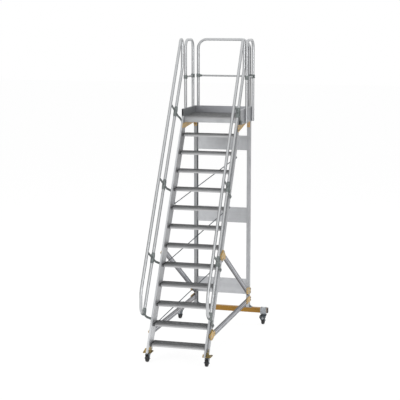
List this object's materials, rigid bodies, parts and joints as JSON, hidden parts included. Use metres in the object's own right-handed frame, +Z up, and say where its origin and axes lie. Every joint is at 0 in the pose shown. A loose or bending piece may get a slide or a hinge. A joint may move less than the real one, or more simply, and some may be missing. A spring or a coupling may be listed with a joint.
{
  "type": "mobile platform stairs",
  "caption": "Steep aluminium stair with handrails up to a railed work platform, on braced legs, a wide rear cross beam and swivel castors, for reaching high machines.",
  "frame": {"origin": "on the floor, under the middle of the machine's box", "axes": "+X to the climber's right, +Y from the foot of the stair to the platform's rear, +Z up"},
  "size_m": [1.408, 2.5935, 4.2124],
  "materials": {
    "aluminium": "mill finish extruded aluminium",
    "tread_aluminium": "ribbed extruded aluminium, darker",
    "tube_aluminium": "satin drawn tube",
    "cast_aluminium": "sand cast clamp",
    "galvanised": "zinc plated steel",
    "yellow_zinc": "yellow passivated zinc",
    "beam_paint": "ochre yellow enamel",
    "black_plastic": "moulded black plastic",
    "tyre": "solid rubber tyre",
    "hub": "moulded wheel centre"
  },
  "bodies": {
    "frame": {"stringer_right": "aluminium", "stringer_left": "aluminium", "tread_01": "tread_aluminium", "tread_02": "tread_aluminium", "tread_03": "tread_aluminium", "tread_04": "tread_aluminium", "tread_05": "tread_aluminium", "tread_06": "tread_aluminium", "tread_07": "tread_aluminium", "tread_08": "tread_aluminium", "tread_09": "tread_aluminium", "tread_10": "tread_aluminium", "tread_11": "tread_aluminium", "tread_12": "tread_aluminium", "tread_end_caps": "black_plastic", "platform_deck": "tread_aluminium", "platform_side_beams": "aluminium", "platform_front_beam": "aluminium", "platform_rear_beam": "aluminium", "platform_bearers": "aluminium", "toe_board_right": "aluminium", "guard_rail_right": "tube_aluminium", "guard_knee_rail_right": "cast_aluminium", "toe_board_left": "aluminium", "guard_rail_left": "tube_aluminium", "guard_knee_rail_left": "cast_aluminium", "toe_board_rear": "aluminium", "guard_rail_rear": "tube_aluminium", "guard_knee_rail_rear": "cast_aluminium", "handrail_right": "tube_aluminium", "handrail_brackets_right": "cast_aluminium", "leg_right": "aluminium", "handrail_left": "tube_aluminium", "handrail_brackets_left": "cast_aluminium", "leg_left": "aluminium", "cross_panel_lower": "aluminium", "cross_panel_middle": "aluminium", "cross_panel_upper": "aluminium", "upper_struts": "aluminium", "lower_struts": "aluminium", "front_castor_brackets": "yellow_zinc", "rear_castor_mounts": "galvanised", "strut_brackets": "yellow_zinc", "tie_rods": "galvanised", "platform_gussets": "yellow_zinc", "rear_cross_beam": "beam_paint", "beam_end_caps": "black_plastic", "leg_feet": "galvanised"},
    "front_right_fork": {"front_right_fork": "galvanised"},
    "front_right_wheel": {"front_right_tyre": "tyre", "front_right_hub": "hub"},
    "front_left_fork": {"front_left_fork": "galvanised"},
    "front_left_wheel": {"front_left_tyre": "tyre", "front_left_hub": "hub"},
    "rear_right_fork": {"rear_right_fork": "galvanised"},
    "rear_right_wheel": {"rear_right_tyre": "tyre", "rear_right_hub": "hub"},
    "rear_left_fork": {"rear_left_fork": "galvanised"},
    "rear_left_wheel": {"rear_left_tyre": "tyre", "rear_left_hub": "hub"}
  },
  "joints": [
    {"name": "front_right_swivel", "type": "hinge", "parent": "frame", "child": "front_right_fork", "pos_m": [0.407, -1.11082, 0.126], "axis": [0, 0, 1], "continuous": true},
    {"name": "front_right_spin", "type": "hinge", "parent": "front_right_fork", "child": "front_right_wheel", "pos_m": [0.407, -1.14882, 0.05], "axis": [1, 0, 0], "continuous": true},
    {"name": "front_left_swivel", "type": "hinge", "parent": "frame", "child": "front_left_fork", "pos_m": [-0.407, -1.11082, 0.126], "axis": [0, 0, 1], "continuous": true},
    {"name": "front_left_spin", "type": "hinge", "parent": "front_left_fork", "child": "front_left_wheel", "pos_m": [-0.407, -1.14882, 0.05], "axis": [1, 0, 0], "continuous": true},
    {"name": "rear_right_swivel", "type": "hinge", "parent": "frame", "child": "rear_right_fork", "pos_m": [0.64, 1.20452, 0.158], "axis": [0, 0, 1], "continuous": true},
    {"name": "rear_right_spin", "type": "hinge", "parent": "rear_right_fork", "child": "rear_right_wheel", "pos_m": [0.64, 1.16652, 0.0625], "axis": [1, 0, 0], "continuous": true},
    {"name": "rear_left_swivel", "type": "hinge", "parent": "frame", "child": "rear_left_fork", "pos_m": [-0.64, 1.20452, 0.158], "axis": [0, 0, 1], "continuous": true},
    {"name": "rear_left_spin", "type": "hinge", "parent": "rear_left_fork", "child": "rear_left_wheel", "pos_m": [-0.64, 1.16652, 0.0625], "axis": [1, 0, 0], "continuous": true}
  ]
}
